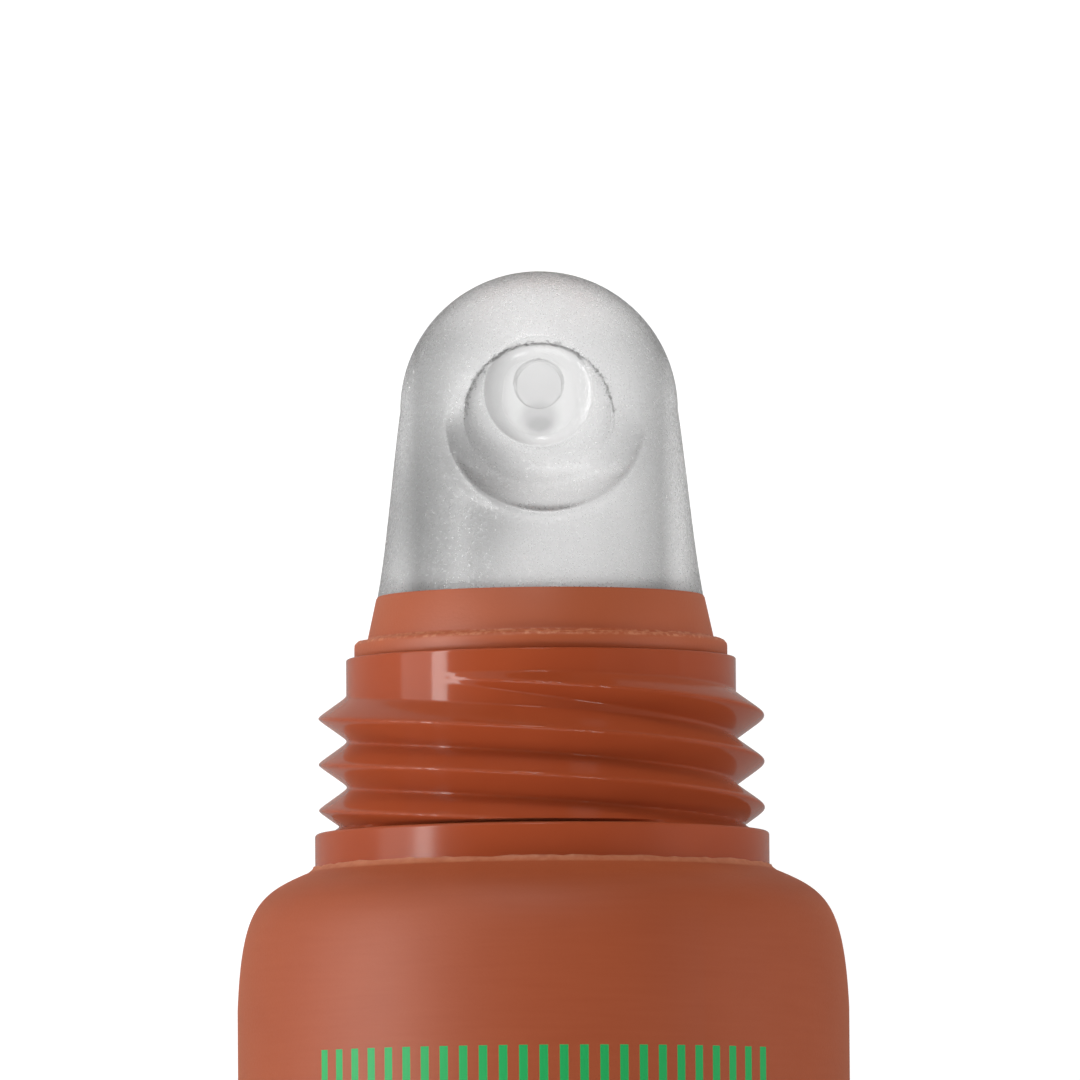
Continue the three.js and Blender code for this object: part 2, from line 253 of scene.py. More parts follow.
def tick_marks(tree, where):
    """1 on the printed ticks: bars at equal steps round the sleeve, every fourth one longer."""
    parts = add(tree, "SeparateXYZ", {0: where})
    turn = add(tree, "Math", {0: parts.outputs["X"], 1: parts.outputs["Z"]}, operation="ARCTAN2")
    step = add(tree, "Math", {0: turn, 1: SLEEVE_R / TICK_STEP}, operation="MULTIPLY")
    nearest = add(tree, "Math", {0: step}, operation="ROUND")
    bar = add(tree, "Math", {0: step, 1: nearest, 2: TICK_WIDTH / TICK_STEP / 2}, operation="COMPARE")
    fourth = add(tree, "Math", {0: nearest, 1: 2.0}, operation="PINGPONG")
    is_short = add(tree, "Math", {0: fourth, 1: 0.5}, operation="GREATER_THAN")
    cut = TICK_SHORT - TICK_LONG
    length = add(tree, "Math", {0: is_short, 1: cut, 2: TICK_LONG}, operation="MULTIPLY_ADD")
    foot = add(tree, "Math", {0: TICK_TOP, 1: length}, operation="SUBTRACT")
    wanted = [
        bar,
        add(tree, "Math", {0: parts.outputs["Y"], 1: TICK_TOP}, operation="LESS_THAN"),
        add(tree, "Math", {0: parts.outputs["Y"], 1: foot}, operation="GREATER_THAN"),
        add(tree, "Math", {0: nearest, 1: 0.0, 2: TICK_COUNT + 0.5}, operation="COMPARE"),
        add(tree, "Math", {0: parts.outputs["Z"], 1: 0.0}, operation="GREATER_THAN"),
    ]
    mask = wanted[0]
    for condition in wanted[1:]:
        mask = add(tree, "Math", {0: mask, 1: condition}, operation="MULTIPLY")
    return mask


print("printed ticks", 2 * TICK_COUNT + 1, "over", 2 * TICK_COUNT * TICK_STEP, "mm")

# %% [markdown]
# ## Sleeve film
# The sleeve is polyethylene film with a soft-touch lacquer. To the eye that is matte, with a broad pale
# haze towards the light and fine lines round it from the drawing of the tube. Two noises could give
# these, one for the colour and one for the bump. One stretched noise serves both, so they fit each other.
# The lines are about 0.16 mm apart, a little coarser than real ones, which would be too fine to show. The
# welded edge under the ring is torn and paler.

# %% Sleeve material
BROWN = "#964420"
BROWN_DARK = "#8e3d1a"
BROWN_PALE = "#a65533"
TORN_PALE = "#bc7a58"
BLOOM = "#d88a60"  # the paler look of coloured plastic at a grazing angle
DRAWN_STEP = 0.16  # sizes of the film's patterns, in millimetres
DRAWN_STRETCH = 14  # times as long as wide
FILM_CLOUD = 3.0
FILM_TATTER = 0.25
FILM_GRAIN = 0.09


def soft_touch_film():
    material, tree = blank("soft_touch_film")
    where = from_seat(tree)
    height = add(tree, "SeparateXYZ", {0: where}).outputs["Y"]
    stretch = (1 / DRAWN_STRETCH, 1, 1 / DRAWN_STRETCH)
    around = add(tree, "Mapping", {"Vector": where, "Scale": stretch})
    drawn = add(tree, "TexNoise", {"Vector": around, "Scale": 1 / DRAWN_STEP, "Detail": 3.0})
    cloud = add(tree, "TexNoise", {"Vector": where, "Scale": 1 / FILM_CLOUD, "Detail": 2.0})
    browns = {0: cloud, MIX_A: screen(BROWN_DARK), MIX_B: screen(BROWN)}
    colour = add(tree, "Mix", browns, data_type="RGBA")
    streak = add(tree, "Math", {0: drawn, 1: 0.3}, operation="MULTIPLY")
    colour = add(tree, "Mix", {0: streak, MIX_A: colour, MIX_B: screen(BROWN_PALE)}, data_type="RGBA")
    tatter = add(tree, "TexNoise", {"Vector": where, "Scale": 1 / FILM_TATTER, "Detail": 3.0})
    torn = add(tree, "Math", {0: band(tree, height, -0.1, 0.3, 0.08), 1: tatter}, operation="MULTIPLY")
    colour = add(tree, "Mix", {0: torn, MIX_A: colour, MIX_B: screen(TORN_PALE)}, data_type="RGBA")
    ticks = tick_marks(tree, where)
    colour = add(tree, "Mix", {0: ticks, MIX_A: colour, MIX_B: screen(PRINT_GREEN)}, data_type="RGBA")
    grain = add(tree, "TexNoise", {"Vector": where, "Scale": 1 / FILM_GRAIN, "Detail": 2.0})
    relief = add(tree, "Math", {0: drawn, 1: 0.5, 2: grain}, operation="MULTIPLY_ADD")
    bump = add(tree, "Bump", {"Height": relief, "Strength": 0.18, "Distance": 0.02 * MM})
    rough = add(tree, "Math", {0: grain, 1: 0.1, 2: 0.49}, operation="MULTIPLY_ADD")
    shader = add(tree, "BsdfPrincipled", {"Base Color": colour, "Roughness": rough, "Normal": bump,
                 "IOR": 1.5, "Specular IOR Level": 0.5, "Sheen Weight": 0.35, "Sheen Roughness": 0.4,
                 "Sheen Tint": screen(BLOOM)})
    add(tree, "OutputMaterial", {"Surface": shader})
    return material


film = soft_touch_film()
print(film.name, len(film.node_tree.nodes), "nodes")

# %% [markdown]
# ## Moulded plastics
# The neck is polypropylene from a polished mould: glossy, with a deep colour and the faint turning marks
# of the mould. The collar and the cap come from a finely etched mould, the same plastic with a satin skin
# that spreads the light. They could be four trees. One recipe serves them all, with its own colours,
# roughness and grain, so they stay one family. A pale broken line of flash can be laid at a height, and a
# band of duller skin at another, as on the ring of the neck.

# %% Moulded plastic materials
MOULD_CLOUD = 2.2  # sizes of patterns, in millimetres
FLASH_SPECK = 0.18


def polypropylene(name, deep, bright, roughness, grain_size, strength, drawn=1.0, flash=None, dull=None,
                  specular=0.4):
    material, tree = blank(name)
    where = from_seat(tree)
    height = add(tree, "SeparateXYZ", {0: where}).outputs["Y"]
    cloud = add(tree, "TexNoise", {"Vector": where, "Scale": 1 / MOULD_CLOUD, "Detail": 2.0})
    colour = add(tree, "Mix", {0: cloud, MIX_A: screen(deep), MIX_B: screen(bright)}, data_type="RGBA")
    if flash:
        low, high, pale = flash
        speck = add(tree, "TexNoise", {"Vector": where, "Scale": 1 / FLASH_SPECK, "Detail": 3.0})
        broken = add(tree, "MapRange", {0: speck, 1: 0.4, 2: 0.7}, **SOFT)
        line = add(tree, "Math", {0: band(tree, height, low, high, 0.06), 1: broken}, operation="MULTIPLY")
        colour = add(tree, "Mix", {0: line, MIX_A: colour, MIX_B: screen(pale)}, data_type="RGBA")
    around = add(tree, "Mapping", {"Vector": where, "Scale": (1 / drawn, 1, 1 / drawn)})
    grain = add(tree, "TexNoise", {"Vector": around, "Scale": 1 / grain_size, "Detail": 2.0})
    bump = add(tree, "Bump", {"Height": grain, "Strength": strength, "Distance": 0.02 * MM})
    rough = add(tree, "Math", {0: grain, 1: 0.08, 2: roughness - 0.04}, operation="MULTIPLY_ADD")
    if dull:
        low, high, more = dull
        skin = band(tree, height, low, high, 0.05)
        rough = add(tree, "Math", {0: skin, 1: more, 2: rough}, operation="MULTIPLY_ADD")
    shader = add(tree, "BsdfPrincipled", {"Base Color": colour, "Roughness": rough, "Normal": bump,
                 "IOR": 1.49, "Specular IOR Level": specular, "Sheen Weight": 0.35, "Sheen Roughness": 0.4,
                 "Sheen Tint": screen(BLOOM)})
    add(tree, "OutputMaterial", {"Surface": shader})
    print(name, len(tree.nodes), "nodes")
    return material


gloss = polypropylene("gloss_polypropylene", "#944022", "#9c4728", 0.1, 0.07, 0.06, drawn=9.0,
                      dull=(-0.6, 1.05, 0.1), specular=0.28)
satin = polypropylene("satin_polypropylene", "#9e4c2a", "#a45230", 0.46, 0.1, 0.25,
                      flash=(6.96, 7.1, "#bd7858"), specular=0.5)
cap_satin = polypropylene("cap_polypropylene", "#98441f", "#9e4a25", 0.42, 0.1, 0.25)
liner_gloss = polypropylene("liner_polypropylene", "#8c3411", "#943a16", 0.25, 0.3, 0.1)

# %% [markdown]
# ## Frosted silicone
# The tip is clear silicone from a lightly blasted mould. Light goes through it but is scattered at the
# skin, so it looks like wet ice, with sparks where single facets of the blasting catch a lamp. A volume
# would grey it where the light has further to go, but it is slow and the export can't keep it, so its
# light and shade are painted into its colour, and the sparks come from facets in a thin coat. Painted
# shade greys its sides, a spot low on the left, its foot, the channel behind the outlet and a thin dark
# ragged line along the bowl's upper rim. Painted light pales its very edge, its crown and the funnel.

# %% Tip tint with painted light and shade
DISH_MIDDLE = 13.76  # heights and radii of the bowl, of the funnel in it and of the channel behind
DISH_R = 2.32
FUNNEL_MIDDLE = 14.58
FUNNEL_R = 1.68
CHANNEL_MIDDLE = 13.75
CHANNEL_R = 0.8
# The dark spot of painted shade low on the left, and the middle where the painted shade is least.
PAINTED_SHADE_SPOT = (-2.8, DISH_MIDDLE - 2.7, 0)
PAINTED_LIGHT_MIDDLE = 0.4  # the clearest place lies a little to the right
# The silicone's own grey, then the greys of painted shade and the white of painted light.
CLEAR = "#d8d8d8"
PAINTED_SHADE_GREY = "#8e8e8e"
PAINTED_LIGHT_WHITE = "#ffffff"
PAINTED_SHADE_DARK = "#747474"


def silicone_painted_shading(tree, where):
    """Clear in the middle, with painted shade that greys the sides, a spot low on the left, the foot and
    the channel, and painted light that pales the very edge, the crown and the funnel."""
    parts = add(tree, "SeparateXYZ", {0: where}).outputs
    flat = add(tree, "CombineXYZ", {0: parts["X"], 1: parts["Y"]})
    off_middle = add(tree, "Math", {0: parts["X"], 1: PAINTED_LIGHT_MIDDLE}, operation="SUBTRACT")
    shade_reach, off_axis = [add(tree, "Math", {0: x}, operation="ABSOLUTE") for x in (off_middle, parts["X"])]
    low_left, to_funnel, to_channel = [
        add(tree, "VectorMath", {0: flat, 1: spot}, operation="DISTANCE")
        for spot in (PAINTED_SHADE_SPOT, (0, FUNNEL_MIDDLE, 0), (0, CHANNEL_MIDDLE, 0))]
    tint = screen(CLEAR)
    for value, low, high, first, last, colour in (
        # Painted shade greys the sides, away from the middle.
        (shade_reach, 0.7, 3.8, 0.0, 1.0, PAINTED_SHADE_GREY),
        # Painted light pales the very edge.
        (off_axis, 3.7, 4.5, 0.0, 1.0, PAINTED_LIGHT_WHITE),
        # Painted light pales the crown.
        (parts["Y"], 16.0, 18.4, 0.0, 0.7, PAINTED_LIGHT_WHITE),
        # Painted shade darkens a spot low on the left.
        (low_left, 0.8, 3.4, 0.6, 0.0, PAINTED_SHADE_DARK),
        # Painted light pales the funnel.
        (to_funnel, FUNNEL_R - 0.3, FUNNEL_R + 0.2, 0.25, 0.0, PAINTED_LIGHT_WHITE),
        # Painted shade stands for the channel behind the outlet.
        (to_channel, CHANNEL_R * 0.4, CHANNEL_R, 0.5, 0.0, PAINTED_SHADE_GREY),
        # Painted shade darkens the tip towards its foot.
        (parts["Y"], 9.0, 13.0, 0.1, 0.0, PAINTED_SHADE_DARK),
    ):
        share = add(tree, "MapRange", {0: value, 1: low, 2: high, 3: first, 4: last}, **SOFT)
        tint = add(tree, "Mix", {0: share, MIX_A: tint, MIX_B: screen(colour)}, data_type="RGBA")
    return tint


# %% Painted shade along the rim of the tip
# The grey of a thin line of painted shade under the bowl's upper rim.
RIM_SHADE_GREY = "#585858"
RIM_TATTER = 0.2  # sizes of patterns, in millimetres
RIM_SPECK = 0.11


def bowl_rim_painted_shade(tree, where):
    """1 along the ragged upper edge of the bowl, for a thin dark line of painted shade."""
    parts = add(tree, "SeparateXYZ", {0: where}).outputs
    flat = add(tree, "CombineXYZ", {0: parts["X"], 1: parts["Y"]})
    reach = add(tree, "VectorMath", {0: flat, 1: (0, DISH_MIDDLE, 0)}, operation="DISTANCE")
    tatter = add(tree, "TexNoise", {"Vector": where, "Scale": 1 / RIM_TATTER, "Detail": 4.0})
    wander = add(tree, "Math", {0: tatter, 1: 0.5, 2: -0.25}, operation="MULTIPLY_ADD")
    ragged = add(tree, "Math", {0: reach, 1: wander}, operation="ADD")
    line = band(tree, ragged, DISH_R - 0.03, DISH_R + 0.01, 0.04)
    speck = add(tree, "TexNoise", {"Vector": where, "Scale": 1 / RIM_SPECK, "Detail": 2.0})
    for value, low, high, most in (
        (speck, 0.36, 0.56, 1.0),
        (parts["Y"], DISH_MIDDLE - 0.6, DISH_MIDDLE + 0.6, 0.8),
        (parts["Z"], 0.9, 1.1, 1.0),
    ):
        share = add(tree, "MapRange", {0: value, 1: low, 2: high, 4: most}, **SOFT)
        line = add(tree, "Math", {0: line, 1: share}, operation="MULTIPLY")
    return line


# %% Tip shader
FROST = 0.07  # sizes of patterns, in millimetres
RIPPLE = 0.45
FACET = 0.07
FACET_TILT = 0.42


def frosted_silicone():
    material, tree = blank("frosted_silicone")
    where = from_seat(tree)
    # The tint carries painted light and shade.
    tint = silicone_painted_shading(tree, where)
    # A thin dark line of painted shade along the bowl's upper rim.
    line = bowl_rim_painted_shade(tree, where)
    colour = add(tree, "Mix", {0: line, MIX_A: tint, MIX_B: screen(RIM_SHADE_GREY)}, data_type="RGBA")
    frost = add(tree, "TexNoise", {"Vector": where, "Scale": 1 / FROST, "Detail": 3.0})
    ripple = add(tree, "TexNoise", {"Vector": where, "Scale": 1 / RIPPLE, "Detail": 2.0})
    relief = add(tree, "Math", {0: ripple, 1: 0.8, 2: frost}, operation="MULTIPLY_ADD")
    bump = add(tree, "Bump", {"Height": relief, "Strength": 0.15, "Distance": 0.03 * MM})
    cells = add(tree, "TexVoronoi", {"Vector": where, "Scale": 1 / FACET})
    spread = add(tree, "VectorMath", {0: cells.outputs["Color"], 1: (0.5, 0.5, 0.5)}, operation="SUBTRACT")
    facet = add(tree, "VectorMath", {0: spread, "Scale": FACET_TILT}, operation="SCALE")
    tilted = add(tree, "VectorMath", {0: bump, 1: facet}, operation="ADD")
    grainy = add(tree, "VectorMath", {0: tilted}, operation="NORMALIZE")
    parts = add(tree, "SeparateXYZ", {0: where}).outputs
    flat = add(tree, "CombineXYZ", {0: parts["X"], 1: parts["Y"]})
    inner = add(tree, "VectorMath", {0: flat, 1: (0, FUNNEL_MIDDLE, 0)}, operation="DISTANCE")
    polish = add(tree, "MapRange", {0: inner, 1: FUNNEL_R - 0.3, 2: FUNNEL_R + 0.2, 3: 0.5}, **SOFT)
    frosted = add(tree, "Math", {0: frost, 1: 0.14, 2: 0.22}, operation="MULTIPLY_ADD")
    rough = add(tree, "Math", {0: frosted, 1: polish}, operation="MULTIPLY")
    shader = add(tree, "BsdfPrincipled", {"Base Color": colour, "Roughness": rough, "Normal": bump,
                 "Coat Normal": grainy, "IOR": 1.41, "Transmission Weight": 0.8, "Coat Weight": 0.6,
                 "Coat Roughness": 0.16, "Coat IOR": 1.4})
    add(tree, "OutputMaterial", {"Surface": shader})
    return material


silicone = frosted_silicone()
print(silicone.name, len(silicone.node_tree.nodes), "nodes")

# %% [markdown]
# ## Foam and balm
# The washer in the cap is foamed polyethylene: pale, with tiny cells that soften the light. The balm in
# the sleeve is wax and oil, which looks creamy because light goes a little way in. They could be two
# trees. Both share one recipe of cells, bump and scattering under the skin, because only the size of the
# cells and the colours differ.

# %% Foam and balm materials
def soft_filling(name, pale, deep, cell, roughness, scatter):
    material, tree = blank(name)
    where = from_seat(tree)
    cells = add(tree, "TexNoise", {"Vector": where, "Scale": 1 / cell, "Detail": 3.0})
    colour = add(tree, "Mix", {0: cells, MIX_A: screen(deep), MIX_B: screen(pale)}, data_type="RGBA")
    bump = add(tree, "Bump", {"Height": cells, "Strength": 0.4, "Distance": 0.05 * MM})
    shader = add(tree, "BsdfPrincipled", {"Base Color": colour, "Normal": bump, "Roughness": roughness,
                 "Subsurface Weight": scatter, "Subsurface Radius": (1 * MM, 0.7 * MM, 0.5 * MM)})
    add(tree, "OutputMaterial", {"Surface": shader})
    print(name, len(tree.nodes), "nodes")
    return material


foam = soft_filling("foamed_polyethylene", "#efe9df", "#d8cfc2", 0.12, 0.7, 0.2)
wax = soft_filling("balm_wax", "#f6ecd2", "#ecdcb4", 0.8, 0.45, 0.3)

# %% [markdown]
# ## Sleeve
# A squeeze sleeve is a round tube of film, welded to the shoulder at one end and pressed flat and welded
# at the other. Film can't stretch, so the flatter it lies, the wider it gets. It could be a cylinder
# squeezed by a lattice, but then its edge would grow longer. So a circle is extruded ring by ring, up the
# inside and down the outside, and each ring is brought to a section of the right length round. Lying on a
# table, the underside stays flat.

# %% Sleeve sections
RING_R = 7.06  # the ring of the neck
STEM_R = 6.31  # the sleeve's hole for the neck
SHOULDER_DROP = 4.4
ROUND_END = -10.0  # height where the sleeve begins to flatten
FILM = 0.45  # thickness
STRIP = 5.0  # length of the welded strip
STRIP_PRESS = 0.09  # the weld bars press both faces level
STRIP_LEVEL = 0.86  # share of the strip that bows, and how far it bows
STRIP_BOW = 0.15
FULLNESS = 1.3
FILM_CURVE = 1.685  # how the width grows as the height falls, with the same length all round
RIB_STEP = 0.5
RIB_DEPTH = 0.05


def sleeve_section(height, angle, depth):
    """A point of the sleeve below its round part, in millimetres, at a depth under its outside."""
    strip_top = TAIL + STRIP
    share = min(max((height - ROUND_END) / (strip_top - ROUND_END), 0.0), 1.0)
    half = SLEEVE_R + (FILM - SLEEVE_R) * share ** FULLNESS
    fall = half / SLEEVE_R
    wide = SLEEVE_R * (math.pi / 2 - (math.pi / 2 - 1) * fall ** FILM_CURVE)
    weld = ((1 - fall) / (1 - FILM / SLEEVE_R)) ** 8
    power = 2 / (2 + 4 * weld)
    sine, cosine = math.sin(angle), math.cos(angle)
    across = math.copysign(abs(sine) ** power, sine)
    up = math.copysign(abs(cosine) ** power, cosine) * (1 + STRIP_PRESS * weld)
    up = min(max(up, -1.0), 1.0)
    bow = STRIP_BOW * weld * max(0.0, 1 - (across / STRIP_LEVEL) ** 2)
    in_strip = min(max((strip_top - height) / RIB_STEP, 0.0), 1.0)
    from_end = min(max((height - TAIL) / RIB_STEP, 0.0), 1.0)
    rib = RIB_DEPTH * in_strip * from_end * (1 - math.cos(2 * math.pi * (height - TAIL) / RIB_STEP)) / 2
    return (wide - depth) * across, half - SLEEVE_R + bow + (half - depth - rib) * up


def taper(end, count):
    """Ring heights from the end of the round part to another height."""
    return [ROUND_END + (end - ROUND_END) * i / count for i in range(count + 1)]


def pressed(heights, depth):
    """Rings that follow the pressed section, with no radius of their own."""
    return [(None, height, depth) for height in heights]


print("welded strip, half width", round(sleeve_section(TAIL, math.pi / 2, 0.0)[0], 2), "mm")

# %% [markdown]
# The rings run from the floor of the hollow up the inside, over the hole for the neck and down the
# outside to the end of the welded strip, where fine steps carry the ribs of the weld. Just outside the
# ring of the neck lies a lip of torn weld. It could be a piece of its own, but it is the same film, so it
# is a few rings that are raised unevenly.

# %% Sleeve rings
SHOULDER_STEER = [(8.744, -0.748), (9.354, -0.968)]
LIP_STEPS = ((0.02, 0.05), (0.03, 0.08), (0.05, 0.085), (0.07, 0.05), (0.1, 0.01))
ROUND_ROWS = [-6.0, -8.0]
RIB_ROWS = 8  # in each step of the ribs

shoulder = curve([(RING_R, -WELD_GAP)] + SHOULDER_STEER + [(SLEEVE_R, -SHOULDER_DROP)], 40)
under = []
for before, here, after in zip(shoulder, shoulder[1:], shoulder[2:]):
    along = Vector((after[0] - before[0], after[1] - before[1])).normalized()
    under.append((here[0] + FILM * along.y, here[1] - FILM * along.x))
lip = [(RING_R + out, -WELD_GAP + up) for out, up in LIP_STEPS]
outer_round = [(STEM_R, -WELD_GAP), (6.7, -WELD_GAP), (7.0, -WELD_GAP)] + lip + shoulder[2:]
inner_round = [(SLEEVE_R - FILM, -SHOULDER_DROP)] + under[::-3]
inner_round += [(RING_R, -WELD_GAP - FILM), (STEM_R, -WELD_GAP - FILM)]
strip_steps = int(round(STRIP / RIB_STEP * RIB_ROWS))
strip = [TAIL + STRIP - STRIP * i / strip_steps for i in range(1, strip_steps + 1)]
rings = pressed(taper(TAIL + STRIP + 4 * FILM, 30)[::-1] + ROUND_ROWS[::-1], FILM)
rings += [(radius, height, 0.0) for radius, height in inner_round + outer_round]
rings += pressed(ROUND_ROWS + taper(TAIL + STRIP, 44) + strip, 0.0)
print("sleeve rings", len(rings))

# %% Sleeve shape
AROUND = 144
TORN_OUT = 0.15  # how far the torn weld wanders, as shares of its height
TORN_UP = 0.6


def torn_edge(angle):
    """How far a torn edge strays at an angle, between -1 and 1, the same each run."""
    waves = ((7, 0.6), (13, 2.1), (23, 4.0), (41, 1.3), (67, 5.2))
    return sum(math.sin(n * angle + phase) for n, phase in waves) / len(waves)


bpy.ops.object.select_all(action="DESELECT")
bpy.ops.mesh.primitive_circle_add(
    vertices=AROUND, radius=STEM_R * MM, fill_type="NGON", location=(0, 0, 0))
sleeve = bpy.context.object
sleeve.name = sleeve.data.name = "sleeve"
bpy.ops.object.mode_set(mode="EDIT")
bpy.ops.mesh.select_mode(type="EDGE")
bpy.ops.mesh.select_all(action="SELECT")
bpy.ops.mesh.region_to_loop()
for _ in range(len(rings) - 1):
    bpy.ops.mesh.extrude_edges_move(TRANSFORM_OT_translate={"value": (0, 0, -MM)})
bpy.ops.mesh.edge_face_add()
bpy.ops.object.mode_set(mode="OBJECT")
for vertex in sleeve.data.vertices:
    radius, height, depth = rings[int(round(-vertex.co.z / MM))]
    angle = math.atan2(vertex.co.x, vertex.co.y)
    if radius is None:
        across, up = sleeve_section(height, angle, depth)
        vertex.co = Vector((across * MM, SEAT_Y + height * MM, AXIS_Z + up * MM))
    else:
        torn = max(0.0, height + WELD_GAP) * torn_edge(angle)
        vertex.co = place(radius + TORN_OUT * torn, height + TORN_UP * torn, angle)
bpy.ops.object.mode_set(mode="EDIT")
bpy.ops.mesh.select_all(action="SELECT")
bpy.ops.mesh.normals_make_consistent(inside=False)
bpy.ops.object.mode_set(mode="OBJECT")
finish_piece(sleeve, "tube", "tube_sleeve", film, 50)

# %% [markdown]
# ## Neck and thread
# The neck is moulded with a two-start thread, whose ridges run down to the right and fade in at the top.
# A ridge could be swept along a helix and joined by a boolean, which easily tears where it fades in. So
# the neck's outline is spun with many fine rows where the thread goes, and each point there is then moved
# out by the height of the ridge. The ridge is a triangle wave with a rounded crest, and a small fillet
# fills the corner over the ring.

# %% Thread ridge
NECK_R = 6.06
NECK_TOP = 6.5
RING_TOP = 1.07
PITCH = 1.43
STARTS = 2
LEAD = PITCH * STARTS
DEPTH = 0.87
THREAD_LOW = 1.19
THREAD_HIGH = 6.35
FIRST_START = math.radians(-30)
RUN_IN = math.radians(112)
FIRST_CREST = THREAD_HIGH - PITCH / 2
SHARPNESS = 0.965  # 1 would be a sharp triangle
START_WIDTH = 0.24  # share of the full ridge where it begins


def ridge(angle, height, endless=False):
    """Share of the thread's depth at an angle and a height."""
    best = 0.0
    for start in range(STARTS):
        within = (angle - FIRST_START - 2 * math.pi * start / STARTS) % (2 * math.pi)
        for turn in range(-3 if endless else 0, 4):
            sweep = within + 2 * math.pi * turn
            grown = 1.0 if endless else math.sin(min(sweep / RUN_IN, 1.0) * math.pi / 2)
            half_width = PITCH / 2 * (START_WIDTH + (1 - START_WIDTH) * grown)
            off = abs(height - (FIRST_CREST - LEAD * sweep / (2 * math.pi))) / half_width
            if off >= 1:
                continue
            share = 0.5 + math.asin(SHARPNESS * math.cos(math.pi * off)) / (2 * math.asin(SHARPNESS))
            best = max(best, share * grown)
    return best


print("thread of", STARTS, "starts, lead", LEAD, "mm")

# %% Thread on a wall
FILLET = 0.6  # in the corner over the ring


def rows(low, high, radius, step):
    """Points up a straight wall."""
    count = int(round((high - low) / step))
    return [(radius, low + (high - low) * i / count) for i in range(count + 1)]


def raise_thread(piece, base, low, high, moved=0.0):
    """Moves the points of a plain wall out by the height of the ridge, or of the fillet over the ring.
    A wall that was moved along the axis has a thread with no beginning, as a nut has."""
    endless = moved > 0
    for vertex in piece.data.vertices:
        radius, height, angle = polar(vertex.co)
        if abs(radius - base) < 0.002 and low - 0.001 < height < high + 0.001:
            fillet = 0.0 if endless else FILLET * max(0.0, 1 - (height - RING_TOP) / FILLET) ** 2
            out = max(DEPTH * ridge(angle, height - moved, endless), fillet)
            vertex.co = place(base + out, height, angle)


# %% Neck
BORE_R = 4.26
BORE_FLOOR = -1.4
FLANGE_R = 8.0  # under the sleeve's shoulder
WELD_R = 6.26  # in the sleeve's hole
PLUG_R = 4.96  # the socket that takes the collar's plug
PLUG_SEAT = 3.3

neck_outline = [(BORE_R, BORE_FLOOR), (FLANGE_R, -1.9), (FLANGE_R, -1.2), (WELD_R, -0.55)]
neck_outline += [(WELD_R, -0.03), (RING_R - 0.04, -0.03), (RING_R, 0.0)]
neck_outline += arc((RING_R - 0.1, RING_TOP - 0.1), 0.1, 0, 90, 5)
neck_outline += [(NECK_R + FILLET, RING_TOP), (NECK_R + 0.45, RING_TOP + 0.05)]
neck_outline += rows(THREAD_LOW, THREAD_HIGH, NECK_R, 0.04)
neck_outline += arc((NECK_R - 0.06, NECK_TOP - 0.06), 0.06, 0, 90, 4)
neck_outline += [(PLUG_R, NECK_TOP), (PLUG_R, PLUG_SEAT), (BORE_R, PLUG_SEAT), (BORE_R, BORE_FLOOR)]
neck = spin_outline("neck", neck_outline, 216)
raise_thread(neck, NECK_R, THREAD_LOW, THREAD_HIGH)
finish_piece(neck, "tube", "tube_head", gloss, 40)

# %% [markdown]
# ## Collar
# The collar is a plug with a bead that sits on the neck and a cone that leads up to the tip. Its moulding
# has a line of flash along the bead. That could be a thin ragged ring laid on it, but flash grows out of
# the plastic, so the points of the bead's upper edge are moved a little instead.

# %% Collar
BEAD_R = 5.8
BEAD_TOP = 7.06
CONE_BASE_R = 5.38
COLLAR_TOP = 8.43
TIP_BASE_R = 5.1
SOCKET_R = 4.36
SOCKET_FLOOR = 4.78
CORE_R = 3.46
PLUG_FLOOR = 3.35
PLUG_GAP = 0.05
FLASH_OUT = 0.02
FLASH_UP = 0.03

collar_outline = [(CORE_R, PLUG_FLOOR), (PLUG_R - PLUG_GAP, PLUG_FLOOR), (PLUG_R - PLUG_GAP, NECK_TOP)]
collar_outline += [(BEAD_R - 0.03, NECK_TOP), (BEAD_R, NECK_TOP + 0.04)]
collar_outline += arc((BEAD_R - 0.2, BEAD_TOP - 0.2), 0.2, 0, 90, 7)
collar_outline += arc((CONE_BASE_R + 0.14, BEAD_TOP + 0.14), 0.15, 270, 190, 5)
collar_outline += [(TIP_BASE_R + 0.01, COLLAR_TOP - 0.06), (TIP_BASE_R - 0.03, COLLAR_TOP)]
collar_outline += [(SOCKET_R, COLLAR_TOP), (SOCKET_R, SOCKET_FLOOR), (CORE_R, SOCKET_FLOOR)]
collar_outline += [(CORE_R, PLUG_FLOOR)]
collar = spin_outline("collar", collar_outline, 192)
for vertex in collar.data.vertices:
    radius, height, angle = polar(vertex.co)
    if radius > CONE_BASE_R + 0.05 and height > BEAD_TOP - 0.12:
        out, up = FLASH_OUT * torn_edge(angle), FLASH_UP * torn_edge(angle + 1)
        vertex.co = place(radius + out, height + up, angle)
finish_piece(collar, "tube", "tip_collar", satin, 40)

# %% [markdown]
# ## Soft tip
# The tip is a dome on a flared foot. Its face is hollowed like a spoon: a wide soft scoop below, a bowl
# with a crisp rim above, a funnel in the bowl and the outlet in the funnel. The hollow could be cut by
# booleans, but its soft sides have no sharp border to cut along. So the plain dome is spun, the faces
# that look up are subdivided finely, and their points are pushed down by the depth of the hollow. The
# channel to the outlet is full of clear balm, which bends light much as silicone does, so it is left
# out, and painted shade in the tint stands for it.

# %% Tip outline
DOME_R = 4.32
EQUATOR = TIP_TOP - DOME_R
ROOT_R = 4.31
ROOT_FLOOR = 4.85
FOOT = COLLAR_TOP
FLANK_STEER = [(4.78, 9.9), (4.6, 12.2)]

